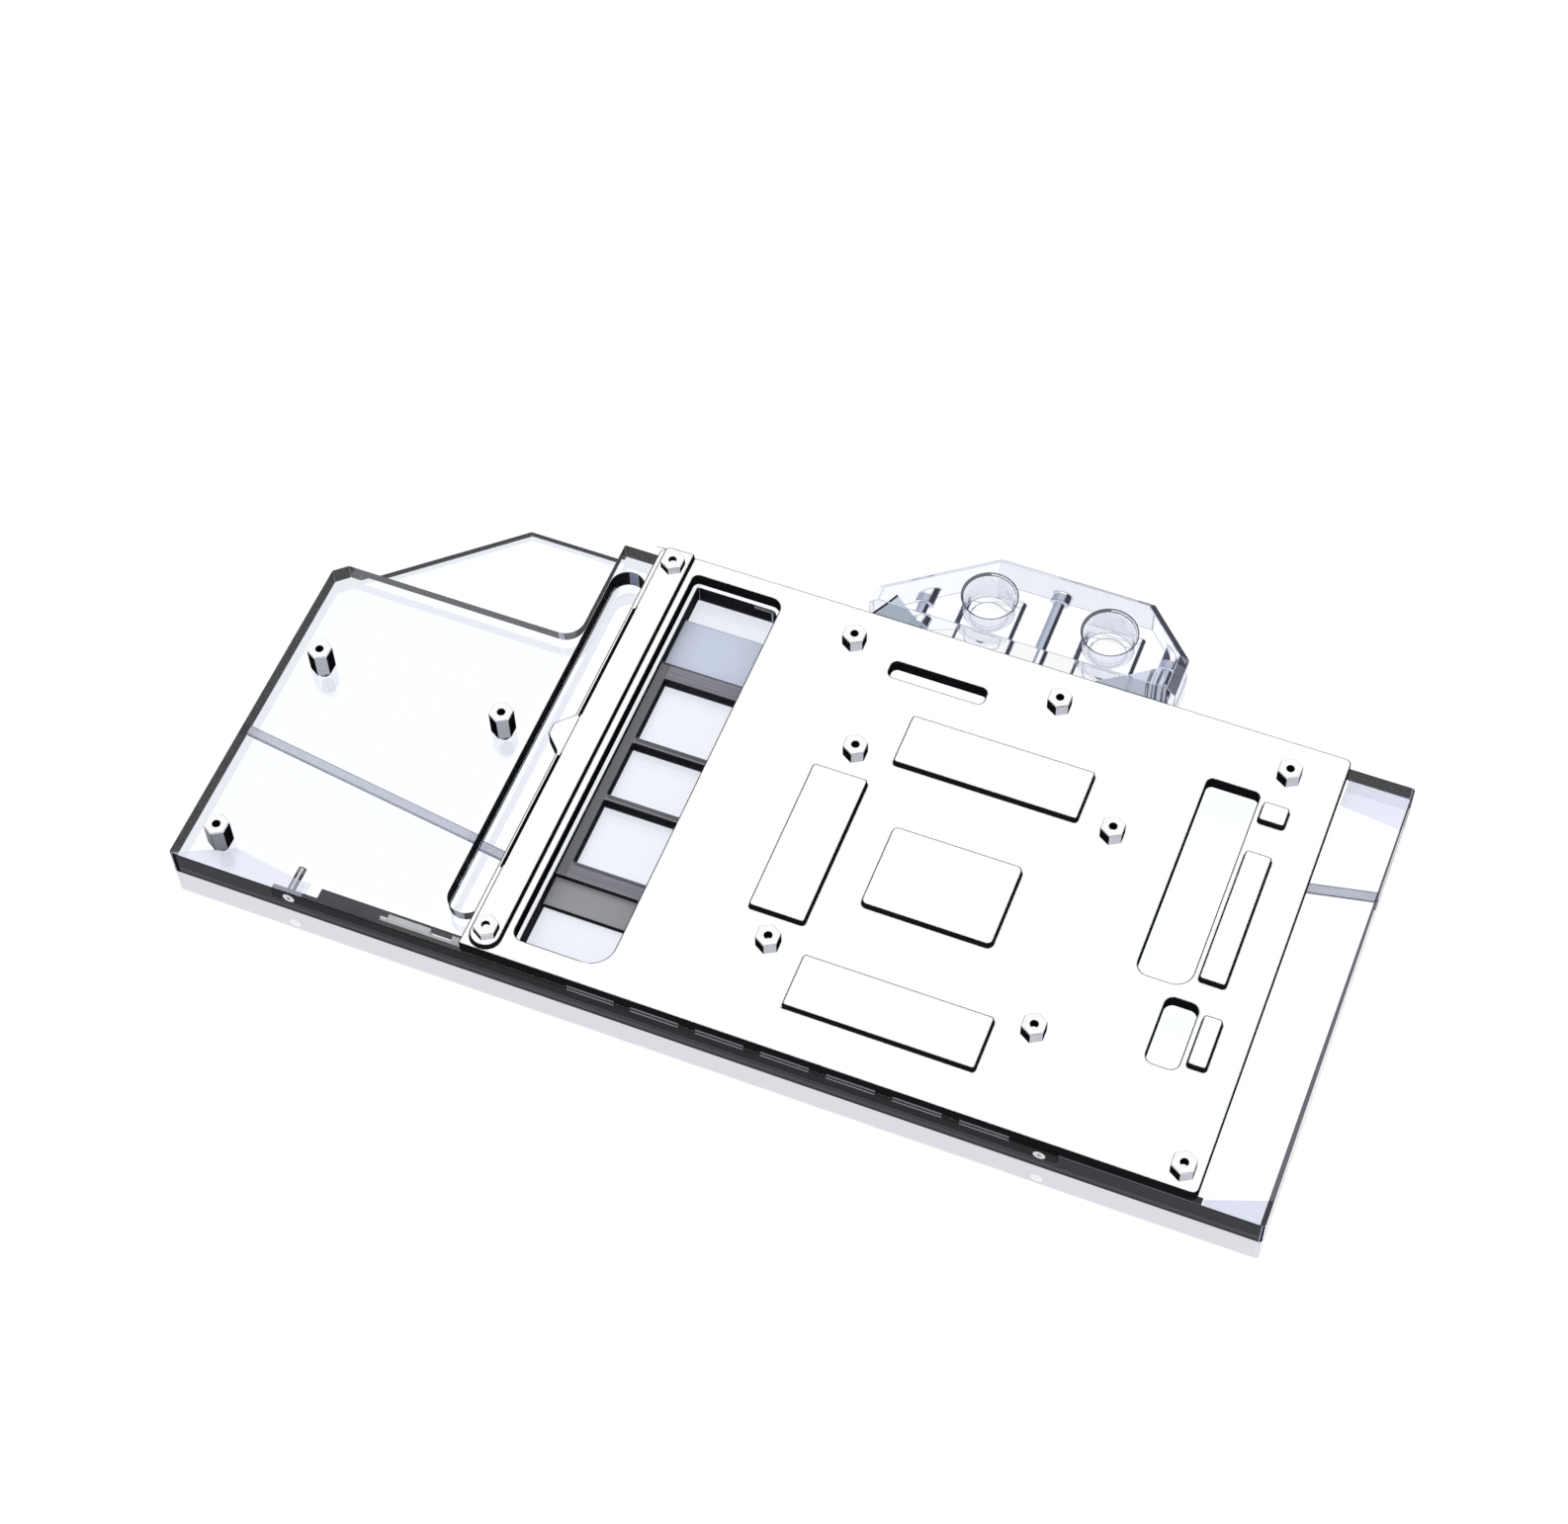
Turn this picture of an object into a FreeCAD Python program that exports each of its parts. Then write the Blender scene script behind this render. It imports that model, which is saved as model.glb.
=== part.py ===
import FreeCAD, Part
import math
import os

# Liquid cooling cold plate for a long graphics or accelerator card.
# A clear body carries a nickel-plated copper plate on its top face. The coolant runs in the
# chamber between the two and reaches it through a clear terminal block at the back edge.
# All sizes are in millimetres. Plan sizes are measured from the front left corner of the body,
# heights from its top face, which the plate lies on. The finished pieces are then moved so that
# the centre of the processor land, on its contact face, is the origin.

V = FreeCAD.Vector

# Clear body
BODY_LENGTH = 275.0
BODY_WIDTH = 124.5
BODY_THICKNESS = 8.4
BODY_CORNER = 0.8
WING_LENGTH = 66.7
WING_WIDTH = 93.3
WING_CORNER_X = 3.3
WING_CORNER_Y = 2.9
NOTCH_RADIUS = 5.0
RECESS_DEPTH = 5.2

# Thin tab in the notch behind the wing, left standing at the depth of the recesses
TAB_START = 6.1
TAB_APEX_X = 40.6
TAB_SETBACK = 1.2

# Long slot beside the plate
SLOT_LEFT = 67.9
SLOT_WIDTH = 9.0
SLOT_FRONT = 9.9
SLOT_SETBACK = 7.5

# Metal plate
PLATE_LEFT = 77.1
PLATE_RIGHT = 258.7
PLATE_FRONT = 0.3
PLATE_THICKNESS = 3.75
PLATE_CORNER = 1.6
EAR_REACH = 4.1
EAR_MIDDLE = 63.8
EAR_TIP = 3.4
EAR_ROOT = 11.6
EAR_ROUND = 1.4

# Rail along the plate's left edge
RAIL_LEFT = 78.6
RAIL_RIGHT = 86.2
RAIL_HEIGHT = 1.4
RAIL_BACK_ROUND = 1.5
RAIL_SETBACK = 0.6
RAIL_END_FLAT = 0.4

# Lands that touch the hot parts: left, front, right and back edge, and those near the back by
# their distances from the back edge
CORE_X = 178.2
CORE_Y = 54.9
CORE_LENGTH = 32.8
CORE_WIDTH = 22.9
CORE_HEIGHT = 1.65
CORE_ROUND = 1.5
LAND_HEIGHT = 1.65
LAND_ROUND = 0.8
BACK_LAND_SPAN = (155.0, 202.0)
BACK_LAND_SETBACKS = (40.9, 26.5)
LEFT_LAND = (137.3, 33.6, 151.4, 76.3)
FRONT_LAND = (154.5, 11.4, 201.8, 25.8)
RIGHT_LAND = (246.5, 30.2, 251.1, 43.9)
LONG_LAND_SPAN = (242.3, 248.8)
LONG_LAND_FRONT = 52.6
LONG_LAND_SETBACK = 34.5
SMALL_LAND_SETBACKS = (25.3, 19.8)

# Openings of the plate: long window over the recess, and three smaller ones
WINDOW_SPAN = (88.2, 112.3)
WINDOW_FRONT = 6.2
WINDOW_SETBACK = 4.9
WINDOW_ROUNDS = (2.5, 6.0, 3.0, 1.5)
TALL_SLOT_SPAN = (227.7, 240.8)
TALL_SLOT_FRONT = 49.9
TALL_SLOT_SETBACK = 17.2
TALL_SLOT_ROUNDS = (3.0, 4.5, 1.5, 1.5)
SHORT_SLOT = (236.9, 28.3, 244.9, 46.4)
SHORT_SLOT_ROUND = 2.2
BACK_SLOT_SPAN = (144.4, 169.4)
BACK_SLOT_SETBACKS = (16.7, 11.9)
BACK_SLOT_ROUND = 1.6

# Recess of the body under the long window, with its ribs and raised shelves
WINDOW_LEDGE = 1.0
RIB_HEIGHT = 3.4
SHELF_HEIGHT = 1.6
THIN_RIB = 1.8
WIDE_RIB = 4.6
SIDE_STEP = 2.4
THIN_RIB_OFFSET = 8.9
WIDE_RIB_OFFSET = 30.9
BACK_SHELF_SETBACK = 14.0
FRONT_SHELF_END = 21.1

# Fins cut into the plate's underside below the processor land
FIN_THICKNESS = 0.6
FIN_GAP = 0.6
FIN_COUNT = 30
FIN_DEPTH = 2.9
FIN_RUN = 30.0

# Jet plate that lies on the fins
JET_THICKNESS = 0.8
JET_LENGTH = 38.0
JET_WIDTH = 23.6
JET_SLIT_LENGTH = 30.0
JET_SLIT_WIDTH = 2.0
JET_CLEARANCE = 0.2
JET_SLIT_ROUND = 0.5
TROUGH_END_GAP = 1.0

# Coolant chamber milled into the body
CHAMBER_DEPTH = 5.8
CHAMBER_ROUND = 2.0
TROUGH_WIDTH = 7.0
TROUGH_WALL = 4.2
INLET_WIDTH = 12.0
OUTLET_WIDTH = 11.5
CORE_WALL = 3.3
CHAMBER_HEAD = 13.0
CHAMBER_SETBACK = 23.5

# Main seal
SEAL_WIDTH = 1.9
SEAL_HEIGHT = 1.2
SEAL_SIDE_GAP = 0.15
SEAL_MARGIN = 3.2
SEAL_ROUND = 6.0

# Terminal block and its ports
PORT_X = 177.1
PORT_SPACING = 31.4
PORT_SETBACK = 10.9
PORT_DIAMETER = 13.157
PORT_DEPTH = 9.3
PORT_CHAMFER = 0.5
PORT_DROP_DIAMETER = 9.5
TERMINAL_TOP = 10.0
TERMINAL_LEFT = 133.4
TERMINAL_RIGHT = 213.4
TERMINAL_DEPTH = 24.5
TERMINAL_BEVEL = 2.4
LEFT_SLOPE_X = 26.5
LEFT_SLOPE_Y = 19.2
RIGHT_SLOPE_X = 13.0
RIGHT_SLOPE_Y = 13.0
PASSAGE_WIDTH = 15.5
PASSAGE_HEIGHT = 3.2
PASSAGE_REACH = 7.5
FACE_SEAL_WIDTH = 1.2
FACE_SEAL_HEIGHT = 1.0
FACE_SEAL_MARGIN = 0.7
FACE_SEAL_GAP = 0.1

# Terminal screws
TERMINAL_SCREWS_X = (144.7, 176.6, 208.2)
TERMINAL_SCREW_SEATS = (9.5, 21.5, 11.5)
TERMINAL_SCREW_DIAMETER = 2.5
TERMINAL_HEAD_DIAMETER = 4.5
TERMINAL_HEAD_HEIGHT = 2.5
TERMINAL_SCREW_BITE = 7.0

# Screws that hold the body to the plate, put in from below
SCREW_DIAMETER = 3.0
SCREW_BITE = 2.6
HEAD_DIAMETER = 5.5
HEAD_HEIGHT = 2.0
HEAD_SINK = 3.0
SOCKET_SIZE = 2.0
SOCKET_DEPTH = 1.2
HOLE_CLEARANCE = 0.4
THREAD_CLEARANCE = 0.1
THREAD_RUN_OUT = 0.4
RAIL_SCREWS_MARGIN = 27.0
SIDE_SCREW_MARGIN = 7.6
SIDE_SCREWS_FRONT = 30.0
SIDE_SCREWS_SETBACK = 23.5
FRONT_SCREW_Y = 18.5
BACK_SCREW_SETBACK = 14.5
RIGHT_SCREWS_X = 251.8
RIGHT_SCREWS_FRONT = 19.0
RIGHT_SCREWS_SETBACK = 24.5

# Hexagonal standoffs for the card
STANDOFF_ACROSS = 5.5
STANDOFF_TOP = 7.7
STANDOFF_CHAMFER = 0.2
STANDOFF_HOLE = 2.1
STANDOFF_FLOOR = 0.6
STUD_DIAMETER = 3.0
STUD_LENGTH = 2.8
BODY_STUD_LENGTH = 4.0
CORE_SPACING_X = 65.7
CORE_SPACING_Y = 57.3
WING_STANDOFFS_X = (10.4, 11.0, 61.0)
WING_STANDOFFS_Y = (7.6, 62.7, 61.5)
RAIL_STANDOFF_MARGIN = 5.2
BACK_STANDOFFS_X = (133.4, 187.2, 245.7)
BACK_STANDOFFS_SETBACK = 10.2
CORNER_STANDOFF_X = 253.8
CORNER_STANDOFF_Y = 5.1

# Light strip in the front wall of the body
LIGHT_COUNT = 11
LIGHT_PITCH = 16.67
LIGHT_INSET = 40.3
LIGHT_LENGTH = 11.0
LIGHT_HEIGHT = 2.8
LIGHT_THICKNESS = 1.5
LIGHT_BOARD_HEIGHT = 3.2
LIGHT_BOARD_THICKNESS = 0.8
LIGHT_BOARD_END = 0.8
COVER_LEFT_END = 11.9
COVER_RIGHT_END = 7.2
COVER_THICKNESS = 1.5
COVER_CLEARANCE = 0.1
GROOVE_TOP = 0.8
GROOVE_HEIGHT = 3.6
GROOVE_DEPTH = 4.3
GROOVE_END_GAP = 0.5
COVER_SCREW_INSET = 4.2
COVER_SCREW_DIAMETER = 2.0
COVER_SCREW_LENGTH = 8.0
COVER_HEAD_DIAMETER = 3.0
COVER_HEAD_HEIGHT = 0.9

# Engraved guide lines on the underside, one at each end
LINE_WIDTH = 2.7
LINE_DEPTH = 0.6
LEFT_LINE = (41.4, 30.9)
RIGHT_LINE = (90.0, 94.8)

# Values that follow from those above
BODY_BOTTOM = -BODY_THICKNESS
PLATE_TOP = PLATE_THICKNESS
MIDDLE_Y = BODY_WIDTH / 2
CHAMBER_BACK = BODY_WIDTH - CHAMBER_SETBACK
LIGHT_FIRST = LIGHT_INSET + LIGHT_LENGTH / 2
TAB_BACK = BODY_WIDTH - TAB_SETBACK
WINDOW = (WINDOW_SPAN[0], WINDOW_FRONT, WINDOW_SPAN[1], BODY_WIDTH - WINDOW_SETBACK)
TALL_SLOT = (TALL_SLOT_SPAN[0], TALL_SLOT_FRONT, TALL_SLOT_SPAN[1], BODY_WIDTH - TALL_SLOT_SETBACK)
WING_STANDOFFS = list(zip(WING_STANDOFFS_X, WING_STANDOFFS_Y))
CORE_TOP = PLATE_THICKNESS + CORE_HEIGHT
PASSAGE_LEVEL = BODY_BOTTOM / 2
FIN_PITCH = FIN_THICKNESS + FIN_GAP
FIN_FIELD = FIN_COUNT * FIN_PITCH - FIN_THICKNESS
PORTS_X = (PORT_X - PORT_SPACING / 2, PORT_X + PORT_SPACING / 2)
PORT_Y = BODY_WIDTH + PORT_SETBACK
RAIL_TOP = PLATE_THICKNESS + RAIL_HEIGHT
RAIL_MIDDLE = (RAIL_LEFT + RAIL_RIGHT) / 2
GROOVE_LEVEL = -GROOVE_TOP - GROOVE_HEIGHT / 2
ORIGIN = V(CORE_X, CORE_Y, CORE_TOP)
UP = V(0, 0, 1)
BACKWARD = V(0, 1, 0)


def block(x0, y0, z0, x1, y1, z1):
    """Straight box between two opposite corners."""
    return Part.makeBox(x1 - x0, y1 - y0, z1 - z0, V(x0, y0, z0))


def rod(radius, start, axis, length):
    """Round bar or bore from a start point along an axis."""
    return Part.makeCylinder(radius, length, start, axis)


def outline(corners, z=0.0):
    """Closed wire through (x, y, radius) corners, each rounded by its own radius."""
    edges = []
    ends = []
    for i, (x, y, radius) in enumerate(corners):
        here = V(x, y, z)
        before = V(corners[i - 1][0], corners[i - 1][1], z) - here
        following = corners[(i + 1) % len(corners)]
        after = V(following[0], following[1], z) - here
        before.normalize()
        after.normalize()
        half = before.getAngle(after) / 2
        reach = radius / math.tan(half)
        first = here + before * reach
        last = here + after * reach
        if radius > 0:
            inward = (before + after).normalize()
            middle = here + inward * (radius / math.sin(half) - radius)
            edges.append(Part.Arc(first, middle, last).toShape())
        ends.append((first, last))
    for i, (first, last) in enumerate(ends):
        start = ends[i - 1][1]
        if start.distanceToPoint(first) > 1e-6:
            edges.append(Part.LineSegment(start, first).toShape())
    return Part.Wire(Part.__sortEdges__(edges))


def prism(corners, z0, z1):
    """Upright solid over an outline, between two heights."""
    return Part.Face(outline(corners, z0)).extrude(V(0, 0, z1 - z0))


def rectangle(bounds, rounds=0.0, grow=0.0):
    """Corners of a rectangle (x0, y0, x1, y1), front left first and then anticlockwise."""
    if not isinstance(rounds, tuple):
        rounds = (rounds,) * 4
    x0, y0, x1, y1 = bounds
    x0, y0, x1, y1 = x0 - grow, y0 - grow, x1 + grow, y1 + grow
    places = ((x0, y0), (x1, y0), (x1, y1), (x0, y1))
    return [(x, y, max(radius + grow, 0.0) if radius else 0.0) for (x, y), radius in zip(places, rounds)]


def around_core(length, width):
    """Edges of a rectangle centred under the processor: left, front, right and back."""
    return CORE_X - length / 2, CORE_Y - width / 2, CORE_X + length / 2, CORE_Y + width / 2


def from_back(span, setbacks):
    """Edges of a rectangle between two X places, set back from the body's back edge."""
    return span[0], BODY_WIDTH - setbacks[0], span[1], BODY_WIDTH - setbacks[1]


def hexagon(across, centre, length):
    """Upright hexagonal bar, measured across its flats."""
    radius = across / math.sqrt(3)
    turns = [math.radians(60 * i + 30) for i in range(7)]
    points = [centre + V(radius * math.cos(a), radius * math.sin(a), 0) for a in turns]
    return Part.Face(Part.makePolygon(points)).extrude(V(0, 0, length))


def socket_screw(diameter, bite, head_diameter, head_height, socket, socket_depth):
    """Socket head screw that points up, with the seat of its head at the origin."""
    outer = V(0, 0, -head_height)
    head = rod(head_diameter / 2, outer, UP, head_height)
    shank = rod(diameter / 2, outer, UP, head_height + bite)
    return head.fuse(shank).cut(hexagon(socket, outer, socket_depth)).removeSplitter()


# Clear body

def body_blank():
    """Slab with the notch behind its wing, and the thin tab in the notch."""
    slab = prism([
        (0, 0, BODY_CORNER),
        (BODY_LENGTH, 0, BODY_CORNER),
        (BODY_LENGTH, BODY_WIDTH, BODY_CORNER),
        (WING_LENGTH, BODY_WIDTH, 0),
        (WING_LENGTH, WING_WIDTH, NOTCH_RADIUS),
        (WING_CORNER_X, WING_WIDTH, 0),
        (0, WING_WIDTH - WING_CORNER_Y, 0),
    ], BODY_BOTTOM, 0)
    inside = NOTCH_RADIUS
    tab = prism([
        (TAB_START, WING_WIDTH, 0),
        (TAB_START, WING_WIDTH - inside, 0),
        (WING_LENGTH + inside, WING_WIDTH - inside, 0),
        (WING_LENGTH + inside, TAB_BACK, 0),
        (TAB_APEX_X, TAB_BACK, 0),
    ], BODY_BOTTOM, -RECESS_DEPTH)
    return slab.fuse(tab).removeSplitter()


def slot_cut():
    """Long round-ended slot beside the plate."""
    bounds = (SLOT_LEFT, SLOT_FRONT, SLOT_LEFT + SLOT_WIDTH, BODY_WIDTH - SLOT_SETBACK)
    return prism(rectangle(bounds, SLOT_WIDTH / 2), -RECESS_DEPTH, 0)


def window_recess():
    """Recess under the plate's long window, less the ribs and shelves that stand in it."""
    recess = prism(rectangle(WINDOW, WINDOW_ROUNDS, -WINDOW_LEDGE), -RECESS_DEPTH, 0)
    left = WINDOW[0]
    right = WINDOW[2]
    standing = []
    for side in (-1, 1):
        for offset, width in ((THIN_RIB_OFFSET, THIN_RIB), (WIDE_RIB_OFFSET, WIDE_RIB)):
            middle = MIDDLE_Y + side * offset
            top = RIB_HEIGHT - RECESS_DEPTH
            standing.append(block(left, middle - width / 2, -RECESS_DEPTH, right, middle + width / 2, top))
    shelf_top = SHELF_HEIGHT - RECESS_DEPTH
    back_rib = MIDDLE_Y + WIDE_RIB_OFFSET
    front_rib = MIDDLE_Y - WIDE_RIB_OFFSET
    standing.append(block(left, back_rib, -RECESS_DEPTH, right, BODY_WIDTH - BACK_SHELF_SETBACK, shelf_top))
    standing.append(block(left, FRONT_SHELF_END, -RECESS_DEPTH, right, front_rib, shelf_top))
    step_right = left + WINDOW_LEDGE + SIDE_STEP
    standing.append(block(left, front_rib, -RECESS_DEPTH, step_right, back_rib, RIB_HEIGHT - RECESS_DEPTH))
    return recess.cut(standing)


def chamber_bounds():
    """Inner edges of the coolant chamber: left, front, right and back."""
    left = CORE_X - JET_LENGTH / 2 - CORE_WALL - INLET_WIDTH
    right = CORE_X + JET_LENGTH / 2 + CORE_WALL + OUTLET_WIDTH
    front = CORE_Y - FIN_RUN / 2 - CHAMBER_ROUND
    return left, front, right, CHAMBER_BACK


def chamber_cuts():
    """Inlet way to the trough under the slit, and outlet way from both ends of the fins."""
    left, front, right, back = chamber_bounds()
    head = back - CHAMBER_HEAD
    half_passage = PASSAGE_WIDTH / 2
    trough = TROUGH_WIDTH / 2
    wall = trough + TROUGH_WALL
    slit_end = CORE_X + JET_SLIT_LENGTH / 2 - TROUGH_END_GAP
    pocket_left = left + INLET_WIDTH + TROUGH_WALL
    pocket_back = CORE_Y + FIN_RUN / 2 + CHAMBER_ROUND
    areas = [
        (left, head, PORTS_X[0] + half_passage, back),
        (left, CORE_Y - trough, left + INLET_WIDTH, back),
        (left, CORE_Y - trough, slit_end, CORE_Y + trough),
        (PORTS_X[1] - half_passage, head, right, back),
        (right - OUTLET_WIDTH, front, right, back),
        (pocket_left, CORE_Y + wall, right, pocket_back),
        (pocket_left, front, right, CORE_Y - wall),
    ]
    cuts = [prism(rectangle(area, CHAMBER_ROUND), -CHAMBER_DEPTH, 0) for area in areas]
    seat = rectangle(around_core(JET_LENGTH, JET_WIDTH), 0.0, JET_CLEARANCE)
    cuts.append(prism(seat, -JET_THICKNESS, 0))
    return cuts


def passage(x, y0, y1, grow=0.0):
    """Flat round-sided passage along the depth of the part, at half the body's thickness."""
    half = PASSAGE_WIDTH / 2 + grow
    rise = PASSAGE_HEIGHT / 2 + grow
    low = PASSAGE_LEVEL - rise
    high = PASSAGE_LEVEL + rise
    flat = block(x - half + rise, y0, low, x + half - rise, y1, high)
    for side in (-1, 1):
        centre = V(x + side * (half - rise), y0, PASSAGE_LEVEL)
        flat = flat.fuse(rod(rise, centre, BACKWARD, y1 - y0))
    return flat.removeSplitter()


def seal_path(grow):
    """Outline of the main seal, grown or shrunk about its inner edge."""
    left, front, right, back = chamber_bounds()
    bounds = (left - SEAL_MARGIN, front - SEAL_MARGIN, right + SEAL_MARGIN, back + SEAL_MARGIN)
    return rectangle(bounds, SEAL_ROUND, grow)


def seal_ring(side_gap):
    """Band that the main seal, or its groove, fills."""
    outer = prism(seal_path(SEAL_WIDTH + side_gap), -SEAL_HEIGHT, 0)
    return outer.cut(prism(seal_path(-side_gap), -SEAL_HEIGHT, 0))


def guide_line(x0, y0, x1, y1):
    """Shallow engraved line on the underside."""
    half = LINE_WIDTH / 2
    corners = [(x0, y0 - half, 0), (x1, y1 - half, 0), (x1, y1 + half, 0), (x0, y0 + half, 0)]
    return prism(corners, BODY_BOTTOM, BODY_BOTTOM + LINE_DEPTH)


def screw_places():
    """Plan positions of the screws that join body and plate."""
    left, front, right, back = chamber_bounds()
    side = SEAL_MARGIN + SEAL_WIDTH + SIDE_SCREW_MARGIN
    far_side = right + SEAL_MARGIN + SEAL_WIDTH + HEAD_DIAMETER / 2
    places = [(RAIL_MIDDLE, y) for y in (RAIL_SCREWS_MARGIN, BODY_WIDTH - RAIL_SCREWS_MARGIN)]
    for x in (left - side, far_side):
        places += [(x, y) for y in (SIDE_SCREWS_FRONT, BODY_WIDTH - SIDE_SCREWS_SETBACK)]
    places += [(CORE_X, FRONT_SCREW_Y), (PORT_X, BODY_WIDTH - BACK_SCREW_SETBACK)]
    places += [(RIGHT_SCREWS_X, y) for y in (RIGHT_SCREWS_FRONT, BODY_WIDTH - RIGHT_SCREWS_SETBACK)]
    return places


def screw_holes():
    """Clearance holes and sunk seats for the screws from below."""
    holes = []
    for x, y in screw_places():
        start = V(x, y, BODY_BOTTOM)
        holes.append(rod((SCREW_DIAMETER + HOLE_CLEARANCE) / 2, start, UP, BODY_THICKNESS))
        holes.append(rod((HEAD_DIAMETER + HOLE_CLEARANCE) / 2, start, UP, HEAD_SINK))
    return holes


def terminal_screw_holes():
    """Threaded holes in the back wall of the body."""
    length = TERMINAL_SCREW_BITE + THREAD_RUN_OUT
    radius = (TERMINAL_SCREW_DIAMETER + THREAD_CLEARANCE) / 2
    return [rod(radius, V(x, BODY_WIDTH - length, PASSAGE_LEVEL), BACKWARD, length)
            for x in TERMINAL_SCREWS_X]


def board_ends():
    """Left and right end of the light strip's board."""
    reach = LIGHT_LENGTH / 2 + LIGHT_BOARD_END
    last = LIGHT_FIRST + (LIGHT_COUNT - 1) * LIGHT_PITCH
    return LIGHT_FIRST - reach, last + reach


def cover_ends():
    """Left and right end of the light strip's cover."""
    left, right = board_ends()
    return left - COVER_LEFT_END, right + COVER_RIGHT_END


def cover_screws_x():
    """Places of the two screws of the light strip's cover."""
    left, right = cover_ends()
    return left + COVER_SCREW_INSET, right - COVER_SCREW_INSET


def light_groove():
    """Groove in the front wall: shallow for the cover, deeper for the lights, and screw holes."""
    low = -GROOVE_TOP - GROOVE_HEIGHT
    gap = COVER_CLEARANCE
    left, right = cover_ends()
    cuts = [block(left - gap, 0, low, right + gap, COVER_THICKNESS, -GROOVE_TOP)]
    left, right = board_ends()
    cuts.append(block(left - GROOVE_END_GAP, 0, low, right + GROOVE_END_GAP, GROOVE_DEPTH, -GROOVE_TOP))
    radius = (COVER_SCREW_DIAMETER + THREAD_CLEARANCE) / 2
    for x in cover_screws_x():
        cuts.append(rod(radius, V(x, 0, GROOVE_LEVEL), BACKWARD, COVER_SCREW_LENGTH + THREAD_RUN_OUT))
    return cuts


def wing_stud_holes():
    """Threaded holes for the studs of the wing's standoffs."""
    length = BODY_STUD_LENGTH + THREAD_RUN_OUT
    radius = (STUD_DIAMETER + THREAD_CLEARANCE) / 2
    return [rod(radius, V(x, y, -length), UP, length) for x, y in WING_STANDOFFS]


def acrylic_body():
    left_end = RAIL_LEFT
    cuts = [slot_cut(), window_recess(), seal_ring(SEAL_SIDE_GAP)]
    cuts += chamber_cuts()
    cuts += [passage(x, CHAMBER_BACK - CHAMBER_ROUND, BODY_WIDTH) for x in PORTS_X]
    cuts += screw_holes()
    cuts += terminal_screw_holes()
    cuts += light_groove()
    cuts += wing_stud_holes()
    cuts.append(guide_line(0, LEFT_LINE[0], left_end, LEFT_LINE[1]))
    cuts.append(guide_line(RIGHT_SCREWS_X, RIGHT_LINE[0], BODY_LENGTH, RIGHT_LINE[1]))
    return body_blank().cut(cuts).removeSplitter()


# Metal plate

def plate_blank():
    """Plate outline with the small ear on its left edge."""
    ear_x = PLATE_LEFT - EAR_REACH
    return prism([
        (PLATE_LEFT, PLATE_FRONT, 0),
        (PLATE_RIGHT, PLATE_FRONT, PLATE_CORNER),
        (PLATE_RIGHT, BODY_WIDTH, PLATE_CORNER),
        (PLATE_LEFT, BODY_WIDTH, PLATE_CORNER),
        (PLATE_LEFT, EAR_MIDDLE + EAR_ROOT / 2, EAR_ROUND),
        (ear_x, EAR_MIDDLE + EAR_TIP / 2, EAR_ROUND),
        (ear_x, EAR_MIDDLE - EAR_TIP / 2, EAR_ROUND),
        (PLATE_LEFT, EAR_MIDDLE - EAR_ROOT / 2, EAR_ROUND),
    ], 0, PLATE_TOP)


def rail():
    """Raised rail with a rounded front end."""
    round_end = (RAIL_RIGHT - RAIL_LEFT - RAIL_END_FLAT) / 2
    bounds = (RAIL_LEFT, PLATE_FRONT + RAIL_SETBACK, RAIL_RIGHT, BODY_WIDTH)
    rounds = (round_end, round_end, 0.0, RAIL_BACK_ROUND)
    return prism(rectangle(bounds, rounds), PLATE_TOP, RAIL_TOP)


def lands():
    """Flat lands for the processor, its memory and the power stages."""
    core = around_core(CORE_LENGTH, CORE_WIDTH)
    solids = [prism(rectangle(core, CORE_ROUND), PLATE_TOP, CORE_TOP)]
    back_land = from_back(BACK_LAND_SPAN, BACK_LAND_SETBACKS)
    small_land = from_back(LONG_LAND_SPAN, SMALL_LAND_SETBACKS)
    long_land = (LONG_LAND_SPAN[0], LONG_LAND_FRONT, LONG_LAND_SPAN[1], BODY_WIDTH - LONG_LAND_SETBACK)
    for bounds in (back_land, LEFT_LAND, FRONT_LAND, small_land, long_land, RIGHT_LAND):
        solids.append(prism(rectangle(bounds, LAND_ROUND), PLATE_TOP, PLATE_TOP + LAND_HEIGHT))
    return solids


def plate_openings():
    """Window and slots that clear the tall parts of the card."""
    back_slot = from_back(BACK_SLOT_SPAN, BACK_SLOT_SETBACKS)
    shapes = [(WINDOW, WINDOW_ROUNDS), (TALL_SLOT, TALL_SLOT_ROUNDS),
              (SHORT_SLOT, SHORT_SLOT_ROUND), (back_slot, BACK_SLOT_ROUND)]
    return [prism(rectangle(bounds, rounds), 0, PLATE_TOP) for bounds, rounds in shapes]


def fin_gaps():
    """Narrow channels between the fins, open to the coolant side."""
    front = CORE_Y - FIN_RUN / 2
    gaps = []
    for i in range(FIN_COUNT):
        left = CORE_X - FIN_FIELD / 2 + i * FIN_PITCH
        gaps.append(block(left, front, 0, left + FIN_GAP, front + FIN_RUN, FIN_DEPTH))
    return gaps


def core_standoff_places():
    """Corners of the pattern around the processor."""
    return [(CORE_X + i * CORE_SPACING_X / 2, CORE_Y + j * CORE_SPACING_Y / 2)
            for i in (-1, 1) for j in (-1, 1)]


def plate_standoff_places():
    """Places of the standoffs along the plate's back edge and in its front right corner."""
    places = [(x, BODY_WIDTH - BACK_STANDOFFS_SETBACK) for x in BACK_STANDOFFS_X]
    return places + [(CORNER_STANDOFF_X, CORNER_STANDOFF_Y)]


def rail_standoff_places():
    """Places of the standoffs at both ends of the rail."""
    return [(RAIL_MIDDLE, y) for y in (RAIL_STANDOFF_MARGIN, BODY_WIDTH - RAIL_STANDOFF_MARGIN)]


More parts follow.
